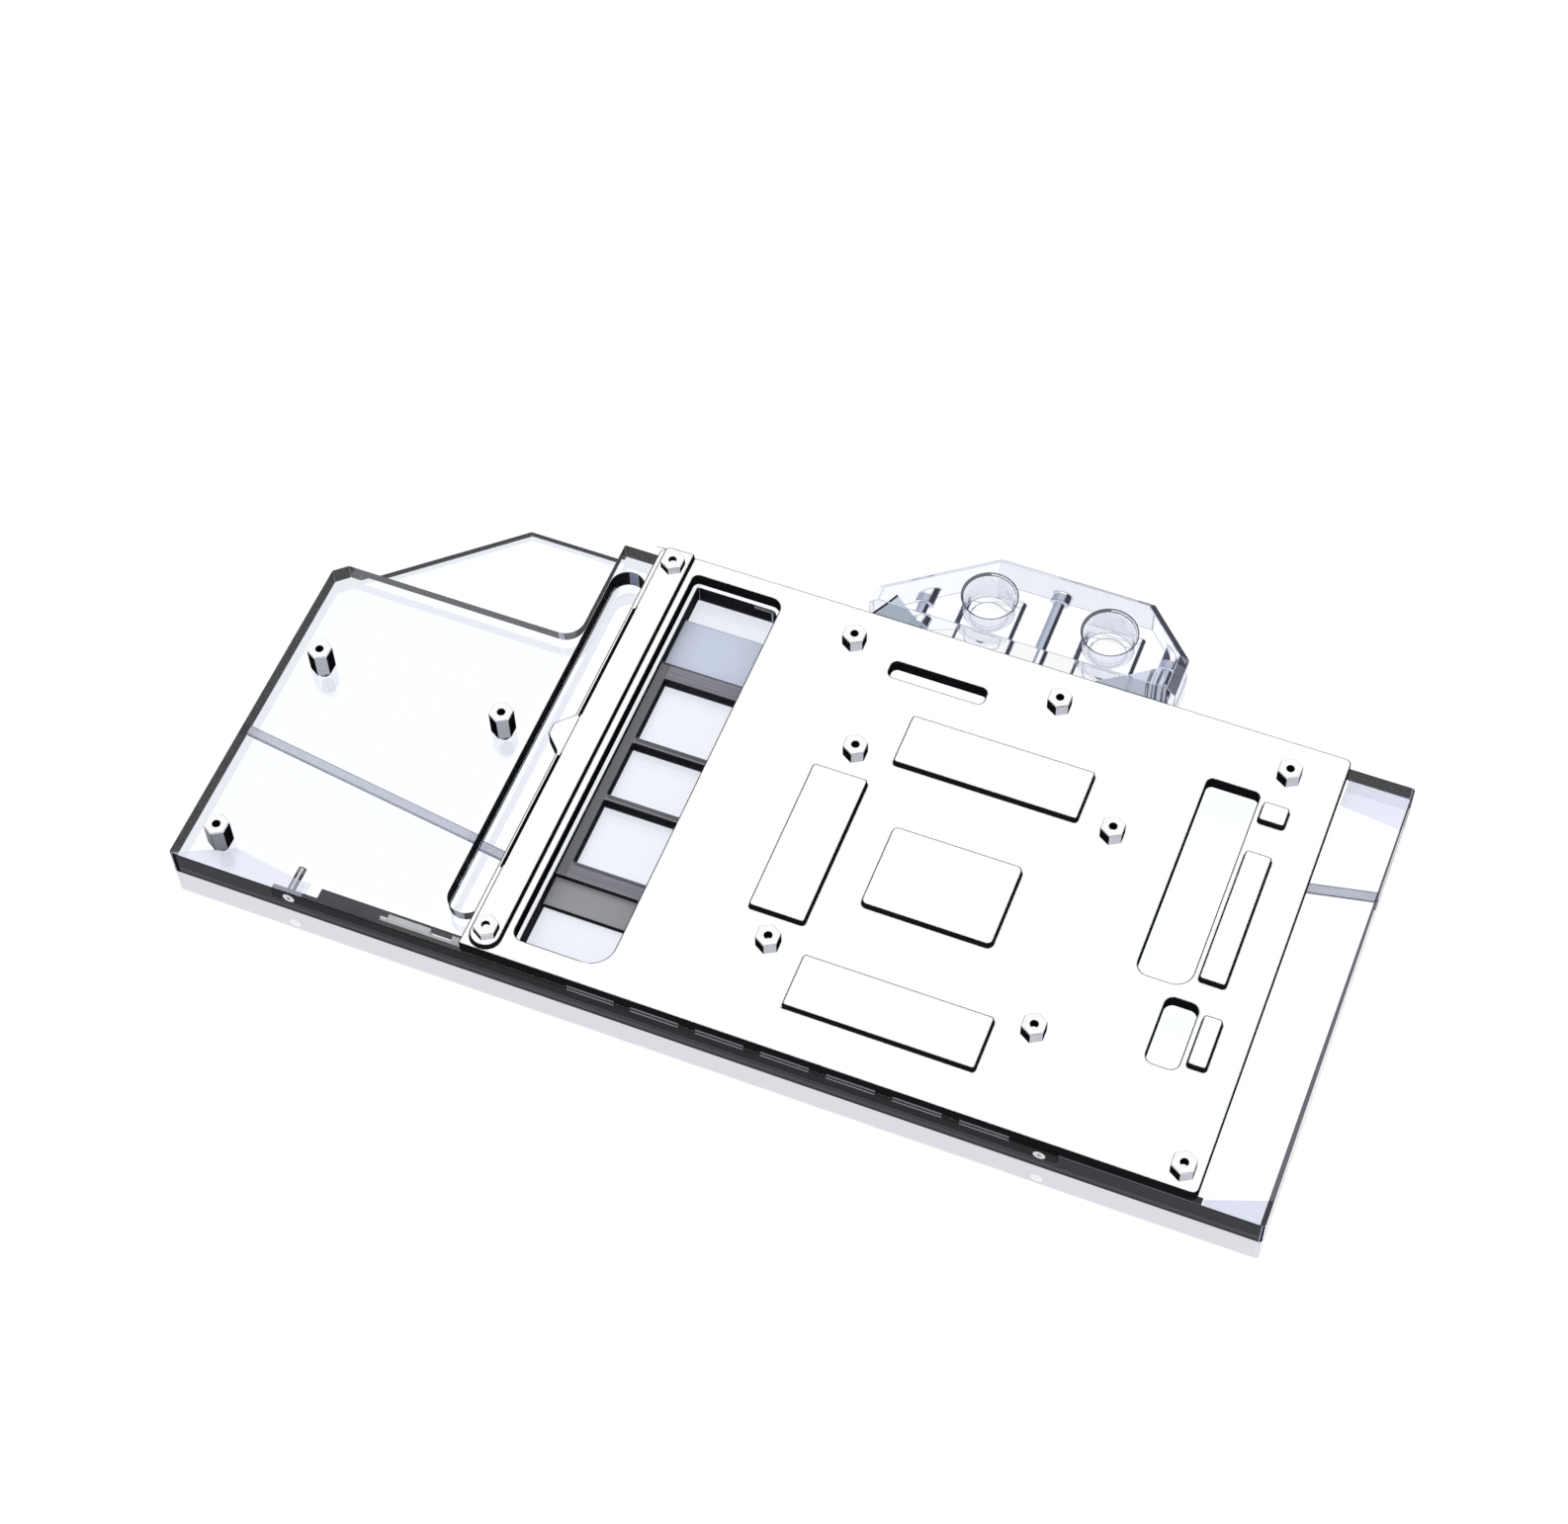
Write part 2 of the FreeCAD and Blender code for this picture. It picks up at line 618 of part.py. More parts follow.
def plate_threads():
    """Blind threads: from below for the body's screws, from above for the standoffs."""
    holes = []
    screw_length = SCREW_BITE + THREAD_RUN_OUT
    for x, y in screw_places():
        holes.append(rod((SCREW_DIAMETER + THREAD_CLEARANCE) / 2, V(x, y, 0), UP, screw_length))
    stud_length = STUD_LENGTH + THREAD_RUN_OUT
    stud_radius = (STUD_DIAMETER + THREAD_CLEARANCE) / 2
    seats = [(x, y, PLATE_TOP) for x, y in plate_standoff_places() + core_standoff_places()]
    seats += [(x, y, RAIL_TOP) for x, y in rail_standoff_places()]
    for x, y, top in seats:
        holes.append(rod(stud_radius, V(x, y, top - stud_length), UP, stud_length))
    return holes


def cold_plate():
    plate = plate_blank().fuse([rail()] + lands()).removeSplitter()
    return plate.cut(plate_openings() + plate_threads() + fin_gaps()).removeSplitter()


# Pieces inside the coolant chamber

def jet_plate():
    """Thin slotted sheet that lies on the fins."""
    sheet = prism(rectangle(around_core(JET_LENGTH, JET_WIDTH)), -JET_THICKNESS, 0)
    slit = rectangle(around_core(JET_SLIT_LENGTH, JET_SLIT_WIDTH), JET_SLIT_ROUND)
    return sheet.cut(prism(slit, -JET_THICKNESS, 0))


# Terminal block

def terminal_blank():
    back = BODY_WIDTH + TERMINAL_DEPTH
    solid = prism([
        (TERMINAL_LEFT, BODY_WIDTH, 0),
        (TERMINAL_RIGHT, BODY_WIDTH, 0),
        (TERMINAL_RIGHT, back - RIGHT_SLOPE_Y, 0),
        (TERMINAL_RIGHT - RIGHT_SLOPE_X, back, 0),
        (TERMINAL_LEFT + LEFT_SLOPE_X, back, 0),
        (TERMINAL_LEFT, back - LEFT_SLOPE_Y, 0),
    ], BODY_BOTTOM, TERMINAL_TOP)
    top_rim = [edge for edge in solid.Edges
               if edge.BoundBox.ZMin > TERMINAL_TOP - 0.01 and edge.BoundBox.YMax > BODY_WIDTH + 0.01]
    return solid.makeChamfer(TERMINAL_BEVEL, top_rim)


def face_seal(x, side_gap, depth):
    """Oval band around one passage, in the terminal's front face."""
    outer = passage(x, BODY_WIDTH, BODY_WIDTH + depth, FACE_SEAL_MARGIN + FACE_SEAL_WIDTH + side_gap)
    return outer.cut(passage(x, BODY_WIDTH, BODY_WIDTH + depth, FACE_SEAL_MARGIN - side_gap))


def port_cuts(x):
    """One threaded port, its drop to the passage, the passage and the groove of its seal."""
    port_floor = TERMINAL_TOP - PORT_DEPTH
    radius = PORT_DIAMETER / 2
    port = rod(radius, V(x, PORT_Y, port_floor), UP, PORT_DEPTH)
    lead_start = V(x, PORT_Y, TERMINAL_TOP - PORT_CHAMFER)
    lead_in = Part.makeCone(radius, radius + PORT_CHAMFER, PORT_CHAMFER, lead_start, UP)
    drop = rod(PORT_DROP_DIAMETER / 2, V(x, PORT_Y, PASSAGE_LEVEL), UP, port_floor - PASSAGE_LEVEL)
    way = passage(x, BODY_WIDTH, PORT_Y + PASSAGE_REACH)
    groove = face_seal(x, FACE_SEAL_GAP, FACE_SEAL_HEIGHT)
    return [port, lead_in, drop, way, groove]


def terminal_screw_cuts():
    """Clearance bores for the terminal's screws, with sunk seats for their heads."""
    cuts = []
    back = BODY_WIDTH + TERMINAL_DEPTH
    for x, seat in zip(TERMINAL_SCREWS_X, TERMINAL_SCREW_SEATS):
        start = V(x, BODY_WIDTH, PASSAGE_LEVEL)
        cuts.append(rod((TERMINAL_SCREW_DIAMETER + HOLE_CLEARANCE) / 2, start, BACKWARD, seat))
        head_start = V(x, BODY_WIDTH + seat, PASSAGE_LEVEL)
        head_radius = (TERMINAL_HEAD_DIAMETER + HOLE_CLEARANCE) / 2
        cuts.append(rod(head_radius, head_start, BACKWARD, back - BODY_WIDTH - seat))
    return cuts


def terminal_block():
    cuts = terminal_screw_cuts()
    for x in PORTS_X:
        cuts += port_cuts(x)
    return terminal_blank().cut(cuts).removeSplitter()


def terminal_screws():
    """Three screws from the back of the terminal into the body's back wall."""
    screws = []
    for x, seat in zip(TERMINAL_SCREWS_X, TERMINAL_SCREW_SEATS):
        screw = socket_screw(TERMINAL_SCREW_DIAMETER, seat + TERMINAL_SCREW_BITE, TERMINAL_HEAD_DIAMETER,
                             TERMINAL_HEAD_HEIGHT, SOCKET_SIZE, SOCKET_DEPTH)
        screw.rotate(V(0, 0, 0), V(1, 0, 0), 90)
        screw.translate(V(x, BODY_WIDTH + seat, PASSAGE_LEVEL))
        screws.append(screw)
    return Part.makeCompound(screws)


# Fasteners and standoffs

def body_screws():
    """Screws from below, their heads sunk into the body."""
    seat = BODY_BOTTOM + HEAD_SINK
    screws = []
    for x, y in screw_places():
        screw = socket_screw(SCREW_DIAMETER, SCREW_BITE - seat, HEAD_DIAMETER, HEAD_HEIGHT,
                             SOCKET_SIZE, SOCKET_DEPTH)
        screw.translate(V(x, y, seat))
        screws.append(screw)
    return Part.makeCompound(screws)


def standoff(x, y, seat, stud):
    """Hexagonal standoff with a threaded stud below and a blind threaded hole above."""
    height = STANDOFF_TOP - seat
    bar = hexagon(STANDOFF_ACROSS, V(x, y, seat), height)
    rims = [edge for edge in bar.Edges if edge.BoundBox.ZMin > seat + height / 2]
    bar = bar.makeChamfer(STANDOFF_CHAMFER, rims)
    hole = rod(STANDOFF_HOLE / 2, V(x, y, seat + STANDOFF_FLOOR), UP, height)
    thread = rod(STUD_DIAMETER / 2, V(x, y, seat - stud), UP, stud)
    return bar.cut(hole).fuse(thread).removeSplitter()


def standoffs():
    """Every standoff under its node's name."""
    pieces = {}
    for i, (x, y) in enumerate(WING_STANDOFFS, 1):
        pieces["standoff_wing_%d" % i] = standoff(x, y, 0, BODY_STUD_LENGTH)
    for i, (x, y) in enumerate(rail_standoff_places(), 1):
        pieces["standoff_rail_%d" % i] = standoff(x, y, RAIL_TOP, STUD_LENGTH)
    for i, (x, y) in enumerate(core_standoff_places(), 1):
        pieces["standoff_core_%d" % i] = standoff(x, y, PLATE_TOP, STUD_LENGTH)
    for i, (x, y) in enumerate(plate_standoff_places(), 1):
        pieces["standoff_edge_%d" % i] = standoff(x, y, PLATE_TOP, STUD_LENGTH)
    return pieces


# Light strip

def light_cover():
    """Strip that closes the groove, with two sunk screw holes."""
    half = GROOVE_HEIGHT / 2 - COVER_CLEARANCE
    left, right = cover_ends()
    strip = block(left, 0, GROOVE_LEVEL - half, right, COVER_THICKNESS, GROOVE_LEVEL + half)
    cuts = []
    for x in cover_screws_x():
        start = V(x, 0, GROOVE_LEVEL)
        cuts.append(rod((COVER_SCREW_DIAMETER + HOLE_CLEARANCE / 2) / 2, start, BACKWARD, COVER_THICKNESS))
        cuts.append(rod((COVER_HEAD_DIAMETER + COVER_CLEARANCE) / 2, start, BACKWARD, COVER_HEAD_HEIGHT))
    return strip.cut(cuts)


def light_board():
    """Narrow circuit board behind the cover."""
    left, right = board_ends()
    half = LIGHT_BOARD_HEIGHT / 2
    back = COVER_THICKNESS + LIGHT_BOARD_THICKNESS
    return block(left, COVER_THICKNESS, GROOVE_LEVEL - half, right, back, GROOVE_LEVEL + half)


def light_modules():
    """Row of encapsulated lights that face into the body."""
    front = COVER_THICKNESS + LIGHT_BOARD_THICKNESS
    back = front + LIGHT_THICKNESS
    low = GROOVE_LEVEL - LIGHT_HEIGHT / 2
    high = GROOVE_LEVEL + LIGHT_HEIGHT / 2
    modules = []
    for i in range(LIGHT_COUNT):
        left = LIGHT_INSET + i * LIGHT_PITCH
        modules.append(block(left, front, low, left + LIGHT_LENGTH, back, high))
    return Part.makeCompound(modules)


def cover_screws():
    """Two small screws through the cover into the body."""
    screws = []
    for x in cover_screws_x():
        screw = socket_screw(COVER_SCREW_DIAMETER, COVER_SCREW_LENGTH - COVER_HEAD_HEIGHT,
                             COVER_HEAD_DIAMETER, COVER_HEAD_HEIGHT,
                             COVER_SCREW_DIAMETER / 2, COVER_HEAD_HEIGHT / 2)
        screw.rotate(V(0, 0, 0), V(1, 0, 0), -90)
        screw.translate(V(x, COVER_HEAD_HEIGHT, GROOVE_LEVEL))
        screws.append(screw)
    return Part.makeCompound(screws)


def all_pieces():
    """Every node by name, still in plan coordinates."""
    pieces = {
        "acrylic_body": acrylic_body(),
        "cold_plate": cold_plate(),
        "jet_plate": jet_plate(),
        "main_seal": seal_ring(0.0),
        "body_screws": body_screws(),
        "terminal_block": terminal_block(),
        "terminal_screws": terminal_screws(),
        "light_cover": light_cover(),
        "light_board": light_board(),
        "light_modules": light_modules(),
        "light_cover_screws": cover_screws(),
    }
    for name, x in zip(("inlet_seal", "outlet_seal"), PORTS_X):
        pieces[name] = face_seal(x, 0.0, FACE_SEAL_HEIGHT)
    pieces.update(standoffs())
    return pieces


os.makedirs("parts", exist_ok=True)
for name, shape in all_pieces().items():
    shape.translate(-ORIGIN)
    shape.exportStep(os.path.join("parts", name + ".step"))
    print(name, len(shape.Solids), "solid(s)", "valid" if shape.isValid() else "NOT VALID",
          round(shape.Volume, 2), "mm3")
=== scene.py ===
# %% [markdown]
# A liquid cooling cold plate is a clear acrylic body under a nickel-plated metal plate. Its solid
# parts come from the CAD model as a fixed frame: every piece is already in its place, in metres,
# and nothing here moves it. What is left for Blender is how the surfaces look, and the screw
# threads that are too fine for the solids. We start by loading that frame, and we note its box.

# %% Load the imported part
import math

import bmesh
import bpy
from mathutils import Matrix, Vector


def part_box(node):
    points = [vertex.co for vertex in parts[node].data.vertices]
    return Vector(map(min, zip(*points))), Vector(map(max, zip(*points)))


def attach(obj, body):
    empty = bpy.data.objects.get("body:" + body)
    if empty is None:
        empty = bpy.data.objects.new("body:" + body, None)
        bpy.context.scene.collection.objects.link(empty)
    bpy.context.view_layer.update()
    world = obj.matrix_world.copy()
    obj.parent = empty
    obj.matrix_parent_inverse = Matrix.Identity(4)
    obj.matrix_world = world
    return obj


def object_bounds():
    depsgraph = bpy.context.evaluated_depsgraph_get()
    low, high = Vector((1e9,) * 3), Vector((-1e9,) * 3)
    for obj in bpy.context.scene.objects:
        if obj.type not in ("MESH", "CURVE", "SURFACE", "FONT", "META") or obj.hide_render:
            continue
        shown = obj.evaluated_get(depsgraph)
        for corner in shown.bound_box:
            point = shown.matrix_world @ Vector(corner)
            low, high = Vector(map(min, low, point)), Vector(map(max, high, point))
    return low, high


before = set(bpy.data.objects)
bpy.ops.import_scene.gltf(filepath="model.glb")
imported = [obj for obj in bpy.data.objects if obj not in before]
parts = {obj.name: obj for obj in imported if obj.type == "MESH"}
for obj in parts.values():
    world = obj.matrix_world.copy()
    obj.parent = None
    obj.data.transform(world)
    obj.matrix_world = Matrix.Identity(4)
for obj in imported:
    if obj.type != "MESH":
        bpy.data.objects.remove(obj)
solid_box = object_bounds()


def in_mm(box):
    return [round(1000 * v, 1) for v in (*box[0], *box[1])]


print(len(parts), "solid parts, box", in_mm(solid_box), "mm")

# %% [markdown]
# A picture of a real thing starts with the camera. Its place could be tried by hand until the
# outline fits, but the straight edges of the body and of the plate pin it down exactly, so we
# write the three directions of the camera as they were measured. The lens is a short telephoto,
# which keeps the long edges nearly parallel.

# %% Place the camera
RIGHT = Vector((0.930037, 0.367074, -0.016943))
DOWN = Vector((0.298433, -0.781418, -0.548018))
FORWARD = Vector((-0.214403, 0.504621, -0.836295))
STAND = (0.121388, -0.378966, 0.659521)
LENS, SENSOR = 74.645, 36

camera = bpy.data.objects.new("camera", bpy.data.cameras.new("camera"))
turn = Matrix((RIGHT, -DOWN, -FORWARD)).transposed().to_4x4()
camera.matrix_world = Matrix.Translation(STAND) @ turn
camera.data.lens = LENS
camera.data.sensor_width = SENSOR
camera.data.clip_start = 0.01
bpy.context.scene.collection.objects.link(camera)
bpy.context.scene.camera = camera
bpy.context.scene.view_settings.view_transform = "Standard"
print("camera", round(camera.location.length, 3), "m from the land that touches the processor")

# %% [markdown]
# Every finish below is a small graph of shader nodes. Placed by hand that is slow to read, so we
# wrap a node's output in a class of our own: adding, multiplying or comparing two of them adds the
# Math node that does it, and numbers on either side work too.

# %% A wire
class Wire:
    """A node's output. Arithmetic on it adds Math nodes to the same recipe."""

    def __init__(self, recipe, socket):
        self.recipe = recipe
        self.socket = socket

    def other(self, name):
        return Wire(self.recipe, self.socket.node.outputs[name])

    def math(self, operation, *values):
        sockets = dict(enumerate(values))
        return self.recipe.node("ShaderNodeMath", {"operation": operation}, sockets)

    def __add__(self, value):
        return self.math("ADD", self, value)

    def __sub__(self, value):
        return self.math("SUBTRACT", self, value)

    def __rsub__(self, value):
        return self.math("SUBTRACT", value, self)

    def __mul__(self, value):
        return self.math("MULTIPLY", self, value)

    def __mod__(self, value):
        return self.math("FLOORED_MODULO", self, value)

    def __rmod__(self, value):
        return self.math("FLOORED_MODULO", value, self)

    def __gt__(self, value):
        return self.math("GREATER_THAN", self, value)

    def __lt__(self, value):
        return self.math("LESS_THAN", self, value)

    def __abs__(self):
        return self.math("ABSOLUTE", self)

    __radd__ = __add__
    __rmul__ = __mul__


print("the wire is ready")

# %% [markdown]
# One more class holds the graph itself. Its method for nodes takes the node's type, its settings,
# which have to be set first because they change the sockets, and what goes into its sockets. The
# others are what our finishes use most: a mix of two shaders, a blend of two colours, a grain that
# keeps to the part, and where a point lies and which way its face looks.

# %% A recipe
class Recipe:
    """A node tree with one method that adds any node to it."""

    def __init__(self, owner):
        owner.use_nodes = True
        self.owner = owner
        self.tree = owner.node_tree
        self.tree.nodes.clear()

    def node(self, kind, settings=None, sockets=None):
        made = self.tree.nodes.new(kind)
        for name, value in (settings or {}).items():
            setattr(made, name, value)
        shown = [s for s in made.inputs if s.enabled]
        for key, value in (sockets or {}).items():
            if isinstance(key, int):
                socket = shown[key]
            else:
                socket = next(s for s in shown if s.name == key)
            if isinstance(value, Wire):
                self.tree.links.new(value.socket, socket)
            elif socket.type == "RGBA":
                socket.default_value = (*value, 1)
            else:
                socket.default_value = value
        outputs = [s for s in made.outputs if s.enabled]
        return Wire(self, outputs[0]) if outputs else None

    def mix(self, share, first, second):
        return self.node("ShaderNodeMixShader", {}, {0: share, 1: first, 2: second})

    def blend(self, share, first, second):
        kind = {"data_type": "RGBA"}
        return self.node("ShaderNodeMix", kind, {"Factor": share, "A": first, "B": second})

    def noise(self, scale, detail, vector=None):
        sockets = {"Scale": scale, "Detail": detail}
        if vector:
            sockets["Vector"] = vector
        return self.node("ShaderNodeTexNoise", {}, sockets)

    def spot(self):
        """A point in the part's own frame, in metres."""
        return self.node("ShaderNodeTexCoord").other("Object")

    def streaks(self, scale):
        """Noise drawn out along the axis with the smallest scale."""
        drawn_out = self.node("ShaderNodeMapping", {}, {"Vector": self.spot(), "Scale": scale})
        return self.noise(1, 2, drawn_out)

    def place(self):
        """Where a point is, in millimetres along X, Y and Z of the part."""
        split = self.node("ShaderNodeSeparateXYZ", {}, {0: self.spot()})
        return [split.other(axis) * 1000 for axis in "XYZ"]

    def facing(self):
        """Which way the flat face at a point looks, as X, Y and Z."""
        normal = self.node("ShaderNodeNewGeometry").other("True Normal")
        split = self.node("ShaderNodeSeparateXYZ", {}, {0: normal})
        return [split.other(axis) for axis in "XYZ"]

    def straight_path(self):
        """1 for what the camera sees itself or by way of metal or glass, 0 for soft light."""
        path = self.node("ShaderNodeLightPath")
        mirrored, refracted = path.other("Is Glossy Ray"), path.other("Is Transmission Ray")
        return path.other("Is Camera Ray") + mirrored + refracted

    def surface(self, shader):
        self.node("ShaderNodeOutputMaterial", {}, {"Surface": shader})
        return self.owner


def new_finish(name):
    return Recipe(bpy.data.materials.new(name))


print("the recipe is ready")

# %% [markdown]
# A mask is 1 where a finish belongs and 0 elsewhere. All of ours come from a handful of tests on
# the place of a point, so they stay on the part from every side.

# %% Masks
def between(value, low, high):
    return (value > low) * (value < high)


def near(value, level, off=0.2):
    return between(value, level - off, level + off)


def inside(x, y, box):
    """Inside an upright box, given as its ranges along X and Y."""
    return between(x, *box[0]) * between(y, *box[1])


def before_line(x, y, slope, start):
    """In front of a straight line across the part."""
    return y < (x * slope + start)


print("the masks are ready")

# %% [markdown]
# The studio is as plain as it can be: a glossy white table, an even pale sky, and one wide soft
# lamp overhead that gives the faces their shape. The lamp is hidden from mirrors and from rays
# that come by way of glass, where it would burn out what lies behind.

# %% Light the studio
SKY_LIGHT = 0.85
LAMP_PLACE = Vector((-0.25, 0.35, 0.8))
LAMP_LENGTH, LAMP_WIDTH = 0.9, 0.6
LAMP_WATTS = 4

sky = Recipe(bpy.data.worlds.new("sky"))
bpy.context.scene.world = sky.owner
lit = sky.node("ShaderNodeBackground", {}, {"Color": (1, 1, 1), "Strength": SKY_LIGHT})
seen = sky.node("ShaderNodeBackground", {}, {"Color": (1, 1, 1), "Strength": 1})
backdrop = sky.mix(sky.straight_path(), lit, seen)
sky.node("ShaderNodeOutputWorld", {}, {"Surface": backdrop})

lamp = bpy.data.objects.new("soft_lamp", bpy.data.lights.new("soft_lamp", "AREA"))
lamp.data.shape = "RECTANGLE"
lamp.data.size, lamp.data.size_y = LAMP_LENGTH, LAMP_WIDTH
lamp.data.energy = LAMP_WATTS
lamp.location = LAMP_PLACE
lamp.rotation_euler = (-LAMP_PLACE).to_track_quat("-Z", "Y").to_euler()
lamp.visible_glossy = False
lamp.visible_transmission = False
bpy.context.scene.collection.objects.link(lamp)
print("lamp", round(LAMP_PLACE.length, 2), "m from the part")

# %% [markdown]
# A table lit by lamps would turn grey, so for the camera, and for rays that come by way of metal
# or glass, it is mostly its own plain white. What is left of it takes the soft shadow under the
# part. Around the part it also mirrors it faintly, but not under it, where the mirror image of the
# clear body would show through the body itself.

# %% Set the table
TABLE_DROP = 0.00005
TABLE_REACH = 4
FOOTPRINT = ((-178, 96.6), (-54.7, 94))
TABLE_WHITE = 0.93
TABLE_MIRROR = 0.3

table_z = solid_box[0].z - TABLE_DROP
quarters = ((-1, -1), (1, -1), (1, 1), (-1, 1))
corners = [(i * TABLE_REACH, j * TABLE_REACH, table_z) for i, j in quarters]
table_mesh = bpy.data.meshes.new("table")
table_mesh.from_pydata(corners, [], [(0, 1, 2, 3)])
table = bpy.data.objects.new("table", table_mesh)
bpy.context.scene.collection.objects.link(table)

white_table = new_finish("white_table")
board = white_table.node("ShaderNodeBsdfDiffuse", {}, {"Color": (0.93, 0.93, 0.95)})
white = {"Color": (0.92, 0.935, 1), "Strength": 1.12}
glow = white_table.node("ShaderNodeEmission", {}, white)
mirror = {"Color": (1, 0.95, 0.75), "Roughness": 0.03}
gloss = white_table.node("ShaderNodeBsdfGlossy", {}, mirror)
plain = white_table.mix(white_table.straight_path() * TABLE_WHITE, board, glow)
x, y, z = white_table.place()
around = 1 - inside(x, y, FOOTPRINT)
white_table.surface(white_table.mix(around * TABLE_MIRROR, plain, gloss))
table_mesh.materials.append(white_table.owner)
print("table at", round(1000 * table_z, 2), "mm")

# %% [markdown]
# The solids have perfectly sharp edges, and a perfectly sharp edge never catches the light. On the
# real part every edge is broken by a tenth of a millimetre or two. Here that narrow face takes a
# second material, mostly painted dark as painted shade, and makes the thin dark line which draws
# each land and each window. We could bevel the CAD solids, but modifiers do it without touching
# them: one joins the split corners of the imported mesh, one takes out the needless triangles, one
# cuts the bevel and gives it the second material, and one keeps flat faces flat.

# %% Break the edges
CORNER_GAP = 0.00002
FLAT_ANGLE, EDGE_ANGLE, CREASE_ANGLE = (math.radians(degrees) for degrees in (1, 40, 28))


def dress(part, finish, edge_finish, width):
    part.data.materials.clear()
    part.data.materials.append(finish)
    part.data.materials.append(edge_finish)
    part.modifiers.new("join_corners", "WELD").merge_threshold = CORNER_GAP
    plain_faces = part.modifiers.new("plain_faces", "DECIMATE")
    plain_faces.decimate_type = "DISSOLVE"
    plain_faces.angle_limit = FLAT_ANGLE
    bevel = part.modifiers.new("broken_edges", "BEVEL")
    bevel.width = width
    bevel.segments = 1
    bevel.limit_method = "ANGLE"
    bevel.angle_limit = EDGE_ANGLE
    bevel.use_clamp_overlap = False
    bevel.material = 1
    part.modifiers.new("crisp_faces", "EDGE_SPLIT").split_angle = CREASE_ANGLE
    print("dressed", part.name, "with", finish.name)


# %% [markdown]
# The body and the terminal are machined from clear acrylic. Its broad faces are polished, so that
# one looks through them, while the walls that a cutter made are matt. On the body they are painted
# near black, a painted shade that gives the dark bands along every edge. We could split the part
# into faces and give each its material, but one material with masks does it too, and stays right
# when the solid changes a little. Clear and matt are two shaders, and a finish is a table: each row
# has a mask, the matt colour that goes there, and how much of the clear shader it covers. Many rows
# paint shade, glow or reflections.

# %% Clear and matt
ACRYLIC_IOR = 1.49


def clear_glass(recipe, rough, ior=ACRYLIC_IOR):
    sockets = {
        "Base Color": (0.985, 0.99, 1),
        "Roughness": recipe.noise(90, 3) * rough,
        "IOR": ior,
        "Transmission Weight": 1,
    }
    return recipe.node("ShaderNodeBsdfPrincipled", {}, sockets)


def matt(recipe, colour, rough=0.45):
    sockets = {"Base Color": colour, "Roughness": rough, "Specular IOR Level": 0}
    return recipe.node("ShaderNodeBsdfPrincipled", {}, sockets)


def lay_shades(recipe, colour, share, shades):
    """Lay the rows of a table over a colour, and add up what they cover."""
    colour = recipe.blend(0.0, colour, (0, 0, 0))
    for mask, shade, amount in shades:
        colour = recipe.blend(mask, colour, shade)
        if amount:
            share = share + mask * amount
    return colour, share


print("clear and matt are ready")

# %% [markdown]
# Now the body's masks. Walls and level faces are told apart by the way they look. A face that is
# seen from inside the acrylic reports the opposite direction, so most tests take the direction
# without its sign. The floors that a cutter left frosted, such as the ribs and shelves in the
# recess under the plate's window, are found by their height.

# %% Where the body is matt
LIGHT_PITCH = 16.28
LIGHT_LENGTH = 12
LIGHTS_START = 122.3
LIGHTS_X = (-73.5, 36.2)
TERMINAL_X = (-44.9, 35.3)
TERMINAL_Y = 69.3
BODY_TOP, BODY_BOTTOM = -5.4, -13.8
RIB_TOP, SHELF_TOP, LINE_FLOOR = -7.2, -9.0, -13.2
WINDOW = ((-89.3, -66.6), (-48, 64))
PASSAGE = ((-34.5, -8), (46, TERMINAL_Y))


def light_bars(x):
    """Where a bar of the light strip lies along X, for its painted glow and its painted reflection.
    """
    return between(x, *LIGHTS_X) * (((x + LIGHTS_START) % LIGHT_PITCH) < LIGHT_LENGTH)


body = new_finish("clear_acrylic")
x, y, z = body.place()
side_x, side_y, up = body.facing()
level_faces = abs(up) > 0.9
top_face = (up > 0.9) * near(z, BODY_TOP)
underside = level_faces * near(z, BODY_BOTTOM) * ((x < -90) + (x > 81))
passage = inside(x, y, PASSAGE) * (z < -5.6)
hidden = between(x, *TERMINAL_X) * (y > TERMINAL_Y) + passage
# Painted light: the right wall, which faces the light, is painted pale and made partly see-through.
lit_right_wall = (side_x > 0.9) * (x > 96.4)
# Painted shadow: the slot's wall beside the plate is painted black.
slot_wall_shadow = (side_x > 0.9) * between(x, -110.7, -109.9)
wall = (abs(up) < 0.5) * (1 - hidden)
slanted = between(abs(side_x), 0.05, 0.3) * wall
wall = wall * (1 - slot_wall_shadow * (z < -9.6)) * (1 - lit_right_wall)
# Painted shade on the front wall: black along its top and at its left end, paler low down.
shaded_front_wall = (side_y < -0.9) * (y < -54.5)
# Painted glow: pale bars on the front wall stand in for the light strip shining through it.
lights = (side_y < -0.9) * between(z, -6.9, -5.4) * light_bars(x)
window = inside(x, y, WINDOW) * (z > -11) * level_faces
ribs = window * near(z, RIB_TOP)
shelves = window * near(z, SHELF_TOP)
cells = window * (z < -9.8)
guide_line = near(z, LINE_FLOOR, 0.15) * level_faces
line_side = (x < 0) * before_line(x, y, -0.1336, -38.2)
# Painted shade on the roof of the light strip's groove, at its left end.
shaded_groove_roof = level_faces * near(z, -6.2, 0.4) * (y < -50.4) * between(x, -144.8, -122.8)
print(len(body.tree.nodes), "nodes tell the body's faces apart")

# %% [markdown]
# A thick clear slab also shows mirror images of its own walls, as grey triangles at its corners
# and dark strips along its front and its right edge. Traced rays would put them elsewhere, since
# they depend on what stood around the real part. They are painted reflections here, bound to the
# corners they belong to. The wing mirrors the studio a little, and so does the underside where the
# body is bare.

# %% Clear acrylic
wing_middle = inside(x, y, ((-173, -112), (-49, 40))) * top_face
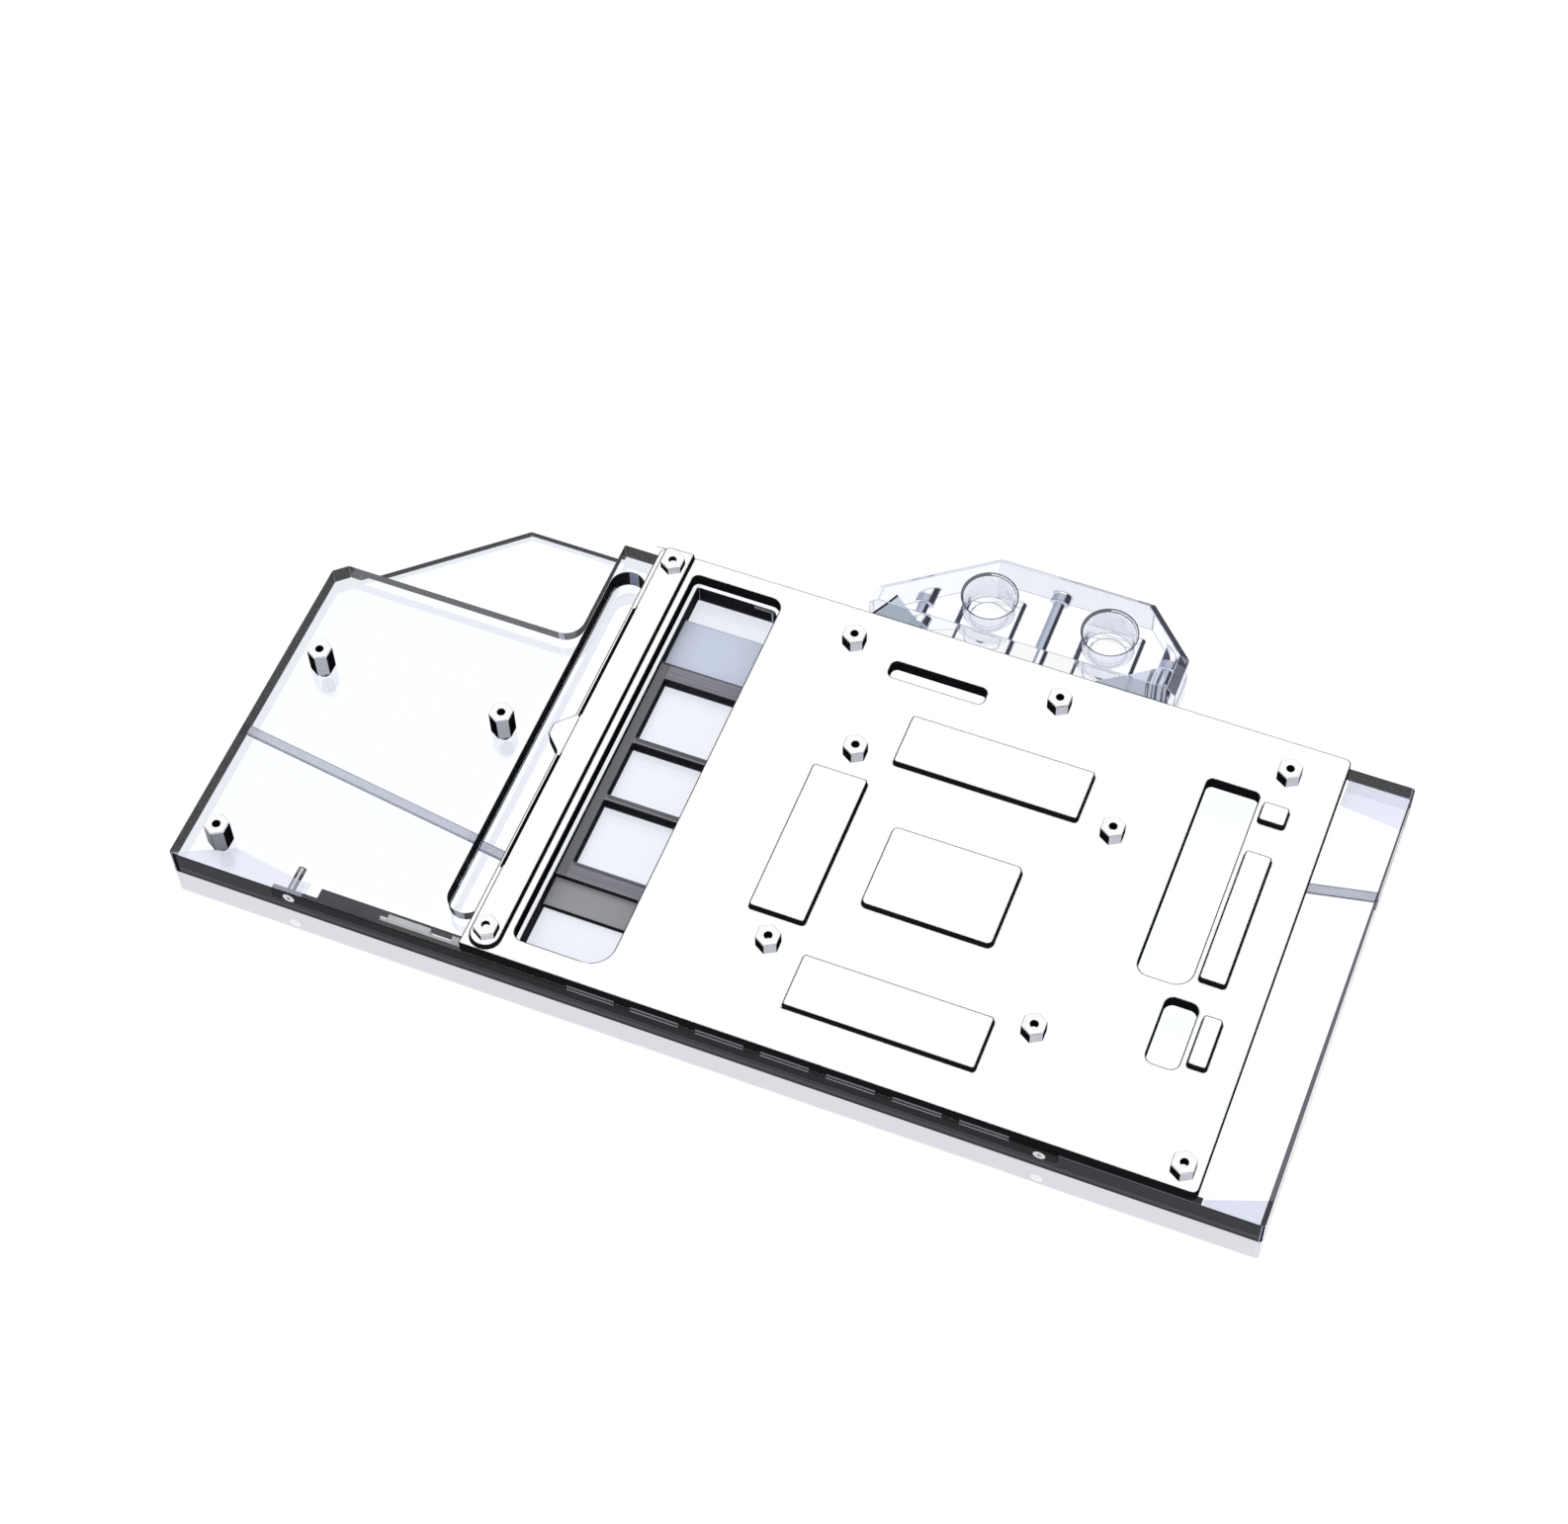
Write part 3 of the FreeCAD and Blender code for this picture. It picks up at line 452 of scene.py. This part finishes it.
# Painted reflections on the top face: a dark strip along the right edge, grey triangles at the
# corners and a dark strip along the front.
right_edge_reflection = top_face * ((x - y * 0.0072) > 95.9)
left_corner_reflection = before_line(x, y, 0.467, 28.3) * before_line(x, y, -0.157, -73.5)
left_corner_reflection = left_corner_reflection * top_face * (x < -142.8)
right_corner_reflection = before_line(x, y, 0.364, -83.2) * top_face * (x > 82.1)
back_corner_reflection = (1 - before_line(x, y, -0.105, 67)) * top_face * (y < 66.3) * (x > 81)
front_strip_reflection = top_face * (y < -53) * between(x, 36, 81.8)

# Painted shade: the cut walls are painted near black, which makes the dark bands along every edge.
PAINTED_WALL_SHADE = (0.014, 0.014, 0.018)
shades = (
    # Painted shadow on the slot's wall.
    (slot_wall_shadow, (0.002, 0.002, 0.003), 0),
    # Painted shade on the front wall, in bands.
    (shaded_front_wall, (0.06, 0.06, 0.07), 0),
    (shaded_front_wall * between(z, -12.5, -11), (0.1, 0.1, 0.115), 0),
    (shaded_front_wall * (z > -5.9), (0.01, 0.01, 0.013), 0),
    (shaded_front_wall * (x < -176.4), (0.004, 0.004, 0.005), 0),
    (ribs, (0.19, 0.19, 0.22), 0.9),
    # Painted shade: the ribs darker at their left end, and the shelves darker in their front half.
    (ribs * (x < -86.5), (0.07, 0.07, 0.085), 0),
    (shelves * (y < 0), (0.24, 0.245, 0.26), 0.93),
    (shelves * (y > 0), (0.5, 0.55, 0.68), 0.93),
    (cells, (0.59, 0.64, 0.7), 0.3),
    (guide_line + slanted, (0.45, 0.53, 0.76), 0.2),
    (guide_line * line_side, (0.28, 0.35, 0.54), 0.2),
    # Painted glow of the light strip's bars.
    (lights, (0.28, 0.28, 0.31), 0),
    # Painted shade in the light strip's groove.
    (shaded_groove_roof, (0.09, 0.09, 0.11), 0.95),
    # Painted reflections: grey triangles at the corners and a dark strip along the front.
    (left_corner_reflection, (0.49, 0.53, 0.64), 0.4),
    (right_corner_reflection, (0.37, 0.4, 0.58), 0.45),
    (back_corner_reflection, (0.42, 0.46, 0.64), 0.35),
    (front_strip_reflection, (0.012, 0.012, 0.015), 0.97),
    # Painted light: the right wall is painted pale.
    (lit_right_wall, (0.6, 0.65, 0.8), 0.08),
    # Painted reflection: a dark strip along the right edge of the top face.
    (right_edge_reflection, (0.05, 0.05, 0.06), 0.9),
)
share = (wall - slanted) * 0.97 + slanted * 0.6 + guide_line * 0.45
colour, share = lay_shades(body, PAINTED_WALL_SHADE, share, shades)
cutter_marks = ribs * body.streaks((30, 1500, 1500))
colour = body.blend(cutter_marks, colour, (0.05, 0.05, 0.06))
mirror = body.node("ShaderNodeBsdfGlossy", {}, {"Color": (0.9, 0.93, 1), "Roughness": 0.02})
polished = body.mix(underside * 0.16 + wing_middle * 0.1, clear_glass(body, 0.015), mirror)
polished = body.mix(passage + lit_right_wall, polished, body.node("ShaderNodeBsdfTransparent"))
clear_acrylic = body.surface(body.mix(share, polished, matt(body, colour)))
print(len(shades), "shades on the body")

# %% [markdown]
# The broken edges of the body are painted dark with a grain, as painted shade; the body is dressed.

# %% Dress the body
BODY_BREAK = 0.00012

edge = new_finish("acrylic_edge")
edge_shade_colour = edge.blend(edge.noise(600, 2), (0.004, 0.004, 0.006), (0.03, 0.03, 0.036))
acrylic_edge = edge.surface(edge.mix(0.85, clear_glass(edge, 0.02), matt(edge, edge_shade_colour)))
dress(parts["acrylic_body"], clear_acrylic, acrylic_edge, BODY_BREAK)

# %% [markdown]
# The terminal block is the same acrylic, but thicker and finished finer: its bores are drilled
# smooth, and its outer walls, ports and passages take a faint matt blue-grey. The bevel towards the
# right end is painted dark, and the back bevel darker and darker towards the right, as painted
# shade. Its front face is glued against the body, so it stays clear. With the full bend of acrylic
# the walls of the ports would mirror the dark plate, so the block bends light less, and rays pass
# its ports and passages straight.

# %% Clear terminal
TERMINAL_IOR = 1.3
BLOCK_X = (-44.6, 35.0)
BLOCK_FRONT, BLOCK_TOP = 69.6, 4.6

terminal = new_finish("clear_terminal")
x, y, z = terminal.place()
side_x, side_y, up = terminal.facing()
upright = abs(up) < 0.9
outer = (1 - between(x, *BLOCK_X) * (y < 93.8)) * upright
ports = inside(x, y, ((-23.6, 21.4), (73.6, 87.4))) * between(z, -4.8, 4.4) * upright
passages = (abs(up) < 0.97) * (abs(side_y) < 0.1) * between(x, *BLOCK_X) * (z < -6.9)
slope = between(up, 0.3, 0.9)
# Painted shade on the right bevel and the back bevel.
shaded_right_slope = slope * (side_x > 0.2)
shaded_back_slope = slope * (side_y > 0.2)
clean_face = (up > 0.9) * (z > 4.5) + (side_y < -0.9) * (y < 69.8)
inward = y - BLOCK_FRONT
down = BLOCK_TOP - z
left_low = inward * 0.484 - down * 0.62 - 40
# Painted reflections of the end walls: pale patches on the top and front faces, with dark strokes.
left_patch_reflection = clean_face * (x > left_low) * (x < (down * 0.68 - inward * 1.258 - 34.6))
left_reflection_stroke = left_patch_reflection * (x < (left_low + 0.7))
right_patch_reflection = clean_face * (x > (inward * 1.364 - down * 1.2 + 22.3))
right_patch_reflection = right_patch_reflection * (x < (down * 0.13 - inward * 0.527 + 32.7))
reflection_strokes = right_patch_reflection * (x > 27) * (terminal.streaks((1400, 40, 40)) > 0.52)

BLUE_GREY_WALL = (0.5, 0.55, 0.68)
shades = (
    (outer, (0.45, 0.5, 0.62), 0.15),
    (ports, (0.7, 0.75, 0.9), 0.12),
    (passages, (0.2, 0.25, 0.42), 0.32),
    # Painted shade: the back bevel darker towards the right, and the right bevel dark.
    (shaded_back_slope, (0.3, 0.33, 0.42), 0.35),
    (shaded_back_slope * (x > 2), (0.16, 0.17, 0.22), 0.15),
    (shaded_back_slope * (x > 18), (0.07, 0.07, 0.09), 0.2),
    (shaded_right_slope, (0.06, 0.06, 0.08), 0.75),
    # Painted reflections on the top and front faces.
    (left_patch_reflection, (0.4, 0.47, 0.57), 0.9),
    (left_reflection_stroke, (0.03, 0.03, 0.04), 0.1),
    (right_patch_reflection, (0.5, 0.54, 0.66), 0.9),
    (reflection_strokes, (0.12, 0.12, 0.16), 0),
)
colour, share = lay_shades(terminal, BLUE_GREY_WALL, upright * 0.03, shades)
polished = clear_glass(terminal, 0.01, TERMINAL_IOR)
straight_through = terminal.node("ShaderNodeBsdfTransparent")
polished = terminal.mix(ports + passages, polished, straight_through)
clear_terminal = terminal.surface(terminal.mix(share, polished, matt(terminal, colour, 0.3)))
print(len(shades), "shades on the terminal")

# %% [markdown]
# Its broken edges are pale, apart from a ring round each port that is painted dark, as painted
# shade. The terminal is hidden from mirror rays, so that the plate beside it stays clean.

# %% Dress the terminal
PORT_CENTRES = ((-0.0168, 0.0805), (0.0146, 0.0805))
RING_RADIUS = 7.35
TERMINAL_BREAK = 0.0002

rim = new_finish("terminal_edge")
x, y, z = rim.place()
rings = 0
for px, py in PORT_CENTRES:
    off_x, off_y = x - px * 1000, y - py * 1000
    rings = rings + ((off_x * off_x + off_y * off_y) < RING_RADIUS ** 2)
shaded_port_rim = rings * (z > 4)
rim_colour = rim.blend(rim.noise(600, 2), (0.28, 0.32, 0.43), (0.45, 0.5, 0.62))
rim_colour = rim.blend(shaded_port_rim, rim_colour, (0.05, 0.05, 0.065))
rim_clear = clear_glass(rim, 0.02, TERMINAL_IOR)
terminal_edge = rim.surface(rim.mix(shaded_port_rim * 0.3 + 0.6, rim_clear, matt(rim, rim_colour)))
dress(parts["terminal_block"], clear_terminal, terminal_edge, TERMINAL_BREAK)
parts["terminal_block"].visible_glossy = False
parts["terminal_screws"].visible_glossy = False

# %% [markdown]
# The metal plate is copper under satin nickel. The land that meets the processor is lapped, which
# leaves very fine random scratches. We draw them as a fine noise in the roughness and in a faint
# bump, and keep the colour close to white, as clean nickel is under a wide soft light. The upright
# walls, rough from the end mill, leave the metal shader for a matt one in painted shade: black on
# the plate, and on the standoffs black facets and bores with paler painted grey on the lit facets.
#
# A broken edge alone is thinner than a pixel. The Bevel node helps: it gives the direction that a
# face would have with its edges rounded, and where that differs from the true one an edge is near.
# There the plate is painted black, as painted shade, and the same mask paints a shadow band along
# the plate's left edge.

# %% Nickel
GRAIN_BUMP = {"Strength": 0.04, "Distance": 0.0001}
# Painted shade: black near the plate's edges, and a painted shadow band along its left side.
EDGE_LINE_SHADE = (0.003, 0.003, 0.004)
SHADOW_BAND_X = (-100.5, -99.15)
SHADOW_BAND_Y = ((-32, 2.3), (14.5, 49.5))


def outline(metal, x, y, z, radius):
    """Where the plate is painted black as shade: close to an edge, and in a painted shadow band
    along its left side.
    """
    rounded = metal.node("ShaderNodeBevel", {"samples": 6}, {"Radius": radius})
    true = metal.node("ShaderNodeNewGeometry").other("True Normal")
    dot = {"operation": "DOT_PRODUCT"}
    agree = metal.node("ShaderNodeVectorMath", dot, {0: rounded, 1: true}).other("Value")
    shadow_band = between(x, *SHADOW_BAND_X) * (between(y, *SHADOW_BAND_Y[0]) + between(y, *SHADOW_BAND_Y[1]))
    edge_near = agree < ((z > -1) * 0.015 + 0.976)
    return 1 - (1 - edge_near) * (1 - shadow_band)


def nickel(name, shade, rough, wall_shade, edge_shade=None, line=None):
    metal = new_finish(name)
    grain = metal.noise(900, 4, metal.spot())
    cloud = metal.noise(35, 3, metal.spot())
    x, y, z = metal.place()
    side_x, side_y, up = metal.facing()
    bright = abs(up) > 0.95
    # Painted shade: facets facing away from the light, and bores, are painted near black; the walls
    # at the wing posts' front corner take a painted grey.
    wing_post = (x < -150) * (y < -35)
    shaded_facet = (side_x < -0.2) * (1 - wing_post) + (side_x > 0.8)
    shaded_bore = (abs(abs(side_x) - 0.5) > 0.04) * (abs(side_x) < 0.97)
    colour = metal.blend(wing_post, wall_shade, (0.28, 0.29, 0.33))
    colour = metal.blend(shaded_facet, colour, (0.005, 0.005, 0.006))
    colour = metal.blend(shaded_bore, colour, (0.01, 0.01, 0.012))
    colour = metal.blend(bright, colour, (shade, shade, shade))
    if edge_shade:
        broken = between(up, 0.3, 0.95)
        colour = metal.blend(broken, colour, edge_shade)
        bright = bright + broken
    if line:
        drawn = outline(metal, x, y, z, line)
        colour = metal.blend(drawn, colour, EDGE_LINE_SHADE)
        mirrored_lights = (y < -53) * (z < -4.5) * light_bars(x)
        colour = metal.blend(mirrored_lights, colour, (0.22, 0.22, 0.25))
        bright = bright * (1 - drawn)
    sockets = {
        "Base Color": colour,
        "Metallic": 1,
        "Roughness": rough + cloud * 0.06 + grain * 0.05,
        "Normal": metal.node("ShaderNodeBump", {}, {**GRAIN_BUMP, "Height": grain}),
    }
    polished = metal.node("ShaderNodeBsdfPrincipled", {}, sockets)
    return metal.surface(metal.mix(bright, matt(metal, colour), polished))


# %% [markdown]
# The plate wears the satin finish, and the standoffs a brighter one with pale broken edges on top.
# Their holes, their facets that look away from the light and their upright edges are painted dark,
# as painted shade, and so are the plate's broken edges. The plate and the standoffs on it are
# hidden from mirror rays, and those on the wing from refracted rays, which keeps stray images of
# them out of the clear body.

# %% Dress the metal
PLATE_BREAK, POST_BREAK = 0.0002, 0.0001
# Painted shade: the plate's broken edges and the standoffs' upright edges are painted black.
EDGE_SHADE_BLACK = (0.006, 0.006, 0.008)

plate_nickel = nickel("nickel_plate", 1.0, 0.5, (0.01, 0.01, 0.012), line=0.0004)
plate_edge = nickel("nickel_edge", 0.01, 0.3, EDGE_SHADE_BLACK)
post_nickel = nickel("nickel_standoff", 0.97, 0.25, (0.62, 0.64, 0.7))
post_edge = nickel("standoff_edge", 0.01, 0.3, EDGE_SHADE_BLACK, (0.93, 0.93, 0.96))
dress(parts["cold_plate"], plate_nickel, plate_edge, PLATE_BREAK)
parts["cold_plate"].visible_glossy = False
for name in parts:
    if name.startswith("standoff"):
        dress(parts[name], post_nickel, post_edge, POST_BREAK)
        on_wing = "wing" in name
        parts[name].visible_glossy = on_wing
        parts[name].visible_transmission = not on_wing

# %% [markdown]
# The small parts are steel screws, rubber seals, a printed circuit board with its lights, and the
# black strip that closes their groove. They are small in the picture, but each still gets grain of
# its own size, because a flat colour looks like a drawing as soon as the camera comes closer. The
# terminal's screws take the blue-grey of the acrylic around them.

# %% Small finishes
def grained(name, dark, light, scale, rough, metallic=0.0, sheen=0.5):
    made = new_finish(name)
    grain = made.noise(scale, 4, made.spot())
    bump = {"Strength": 0.1, "Distance": 0.0001, "Height": grain}
    sockets = {
        "Base Color": made.blend(grain, dark, light),
        "Metallic": metallic,
        "Roughness": rough + grain * 0.1,
        "Specular IOR Level": sheen,
        "Normal": made.node("ShaderNodeBump", {}, bump),
    }
    return made.surface(made.node("ShaderNodeBsdfPrincipled", {}, sockets))


steel = grained("screw_steel", (0.62, 0.62, 0.65), (0.78, 0.78, 0.8), 700, 0.15, 1.0)
blue_steel = grained("pale_steel", (0.42, 0.46, 0.58), (0.52, 0.56, 0.68), 700, 0.35, 1.0)
jet_steel = grained("jet_steel", (0.55, 0.55, 0.57), (0.7, 0.7, 0.72), 500, 0.25, 1.0)
rubber = grained("seal_rubber", (0.012, 0.012, 0.013), (0.03, 0.03, 0.032), 900, 0.5)
plastic = grained("black_plastic", (0.014, 0.014, 0.017), (0.03, 0.03, 0.035), 500, 0.4, sheen=0.02)
board_white = grained("board", (0.7, 0.71, 0.72), (0.8, 0.81, 0.82), 300, 0.4)
light_white = grained("light_white", (0.85, 0.87, 0.9), (0.95, 0.96, 0.98), 400, 0.3)
small = {
    "body_screws": steel,
    "terminal_screws": blue_steel,
    "light_cover_screws": steel,
    "main_seal": rubber,
    "inlet_seal": rubber,
    "outlet_seal": rubber,
    "light_cover": plastic,
    "light_board": board_white,
    "light_modules": light_white,
    "jet_plate": jet_steel,
}
for name, finish in small.items():
    parts[name].data.materials.clear()
    parts[name].data.materials.append(finish)
print(len(small), "small parts have a finish")

# %% [markdown]
# The ports have the G1/4 thread of liquid cooling, and the screws have threads too. In the solids
# they are smooth bores and shanks, because a thread is fine detail. Here each is a ridge that runs
# round a helix. We place the four points of a ridge's section at every step along the helix and
# join neighbours with faces, which is quick and keeps the pitch exact.

# %% A ridge round a helix
STEPS_PER_TURN = 36
FADE_STEPS = 9
FOOT_SHARE, CREST_SHARE = 0.42, 0.06


def helix_ridge(name, foot, axis, base, crest, pitch, length):
    """A ridge round an axis: base is the radius it stands on, crest the radius of its top."""
    axis = Vector(axis)
    across = axis.orthogonal().normalized()
    upward = axis.cross(across)
    half, tip = pitch * FOOT_SHARE, pitch * CREST_SHARE
    turns = (length - 2 * half) / pitch
    count = int(turns * STEPS_PER_TURN) + 1
    work = bmesh.new()
    rings = []
    for i in range(count):
        angle = 2 * math.pi * i / STEPS_PER_TURN
        climb = half + pitch * i / STEPS_PER_TURN
        outward = across * math.cos(angle) + upward * math.sin(angle)
        top = base + (crest - base) * min(1, i / FADE_STEPS, (count - 1 - i) / FADE_STEPS)
        section = [(base, -half), (top, -tip), (top, tip), (base, half)]
        points = [Vector(foot) + outward * r + axis * (climb + h) for r, h in section]
        rings.append([work.verts.new(point) for point in points])
    for one, two in zip(rings, rings[1:]):
        for j in range(4):
            k = (j + 1) % 4
            work.faces.new((one[j], one[k], two[k], two[j]))
    bmesh.ops.recalc_face_normals(work, faces=work.faces)
    mesh = bpy.data.meshes.new(name)
    work.to_mesh(mesh)
    work.free()
    piece = bpy.data.objects.new(name, mesh)
    bpy.context.scene.collection.objects.link(piece)
    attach(piece, "root")
    print(name, round(turns, 1), "turns,", len(mesh.polygons), "faces")
    return piece


# %% [markdown]
# The ports' threads are cut in clear acrylic, so they only tint what is behind them. The threads of
# the cover's screws are steel.

# %% Cut the threads
PORT_THREAD_FOOT = -0.0045
PORT_THREAD = {"base": 0.00657, "crest": 0.0059, "pitch": 0.001337, "length": 0.0084}
SCREW_INSET, SCREW_THREAD_START = 0.0015, 0.0012
SCREW_THREAD = {"base": 0.00098, "crest": 0.00104, "pitch": 0.0005, "length": 0.0067}

thread_glass = new_finish("thread_glass")
tint = thread_glass.blend(thread_glass.noise(400, 2), (0.7, 0.75, 0.88), (0.8, 0.85, 0.95))
see_through = thread_glass.node("ShaderNodeBsdfTransparent")
thread_glass.surface(thread_glass.mix(0.1, see_through, matt(thread_glass, tint)))
for name, (px, py) in zip(("inlet_thread", "outlet_thread"), PORT_CENTRES):
    thread = helix_ridge(name, (px, py, PORT_THREAD_FOOT), (0, 0, 1), **PORT_THREAD)
    thread.data.materials.append(thread_glass.owner)
    thread.visible_glossy = False

low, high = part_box("light_cover_screws")
screws = (("left_screw_thread", low.x + SCREW_INSET), ("right_screw_thread", high.x - SCREW_INSET))
for name, sx in screws:
    start = (sx, low.y + SCREW_THREAD_START, (low.z + high.z) / 2)
    thread = helix_ridge(name, start, (0, 1, 0), **SCREW_THREAD)
    thread.data.materials.append(steel)
